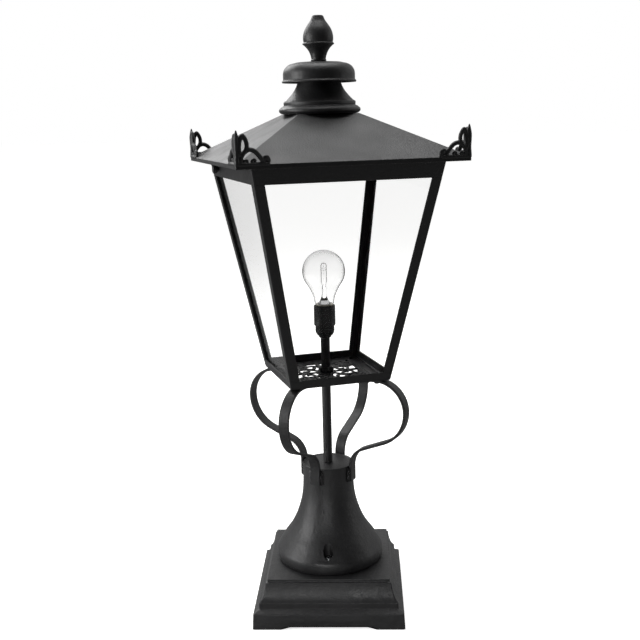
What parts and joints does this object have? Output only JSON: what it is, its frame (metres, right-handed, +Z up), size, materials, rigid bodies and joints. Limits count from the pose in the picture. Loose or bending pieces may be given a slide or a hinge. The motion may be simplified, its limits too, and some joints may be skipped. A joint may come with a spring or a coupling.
{
  "type": "street lamp post",
  "caption": "Pedestal street lantern: square moulded plinth, flared column, scrolled straps and a tapered glazed lantern with a hinged roof, clear lamp and turned finial.",
  "frame": {"origin": "centre of the plinth's underside, on the surface it stands on", "axes": "+Z up the post's axis; -Y out of the plinth's front, with the lantern head turned 19.5 degrees about +Z"},
  "size_m": [0.3906, 0.3906, 0.8351],
  "materials": {
    "casting": "satin black powder coat on castings",
    "coat": "satin black powder coat on sheet and bar",
    "zinc": "zinc plated",
    "nickel": "nickel plated",
    "glass": "clear",
    "bakelite": "glossy moulded",
    "ceramic": "unglazed steatite",
    "rubber": "matte",
    "tungsten": "drawn wire"
  },
  "bodies": {
    "root": {"plinth": "casting", "bell": "casting", "bell_screw_1": "zinc", "bell_screw_2": "zinc", "bell_screw_3": "zinc", "neck_plate": "coat", "stem_tube": "coat", "neck_nut": "zinc", "grid_nut_upper": "coat", "grid_nut_lower": "coat", "strap_front_right": "coat", "strap_back_right": "coat", "strap_back_left": "coat", "strap_front_left": "coat", "grid_screw_front_right": "coat", "grid_screw_back_right": "coat", "grid_screw_back_left": "coat", "grid_screw_front_left": "coat", "frame_screw_front_right": "coat", "frame_screw_back_right": "coat", "frame_screw_back_left": "coat", "frame_screw_front_left": "coat", "bottom_frame": "coat", "top_frame": "coat", "corner_post_front_right": "coat", "corner_post_back_right": "coat", "corner_post_back_left": "coat", "corner_post_front_left": "coat", "pane_front": "glass", "pane_right": "glass", "pane_back": "glass", "pane_left": "glass", "floor_grid": "coat", "holder_dome": "bakelite", "holder_sleeve": "bakelite", "holder_contact": "ceramic", "lead_wire": "rubber", "terminal_block": "ceramic", "hinge_frame_leaf": "coat", "hinge_pin": "zinc"},
    "roof_lid": {"roof": "coat", "corner_ornament_front_right": "casting", "corner_ornament_back_right": "casting", "corner_ornament_back_left": "casting", "corner_ornament_front_left": "casting", "chimney": "casting", "cap": "casting", "finial": "casting", "tie_rod": "zinc", "tie_rod_nut": "zinc", "hinge_roof_leaf": "coat", "roof_catch": "coat"},
    "lamp_bulb": {"bulb_cap": "nickel", "bulb_globe": "glass", "bulb_stem": "glass", "bulb_filament": "tungsten"},
    "catch_screw": {"roof_thumbscrew": "coat"}
  },
  "joints": [
    {"name": "roof_open", "type": "hinge", "parent": "root", "child": "roof_lid", "pos_m": [0.12584, 0.04456, 0.64], "axis": [-0.3338, 0.9426, 0], "range_deg": [0, 100]},
    {"name": "bulb_turn", "type": "hinge", "parent": "root", "child": "lamp_bulb", "pos_m": [0, 0, 0.45], "axis": [0, 0, 1], "range_deg": [0, 1080]},
    {"name": "thumbscrew_turn", "type": "hinge", "parent": "root", "child": "catch_screw", "pos_m": [-0.13715, 0.02781, 0.634], "axis": [-0.9426, -0.3338, 0], "range_deg": [0, 720]}
  ]
}
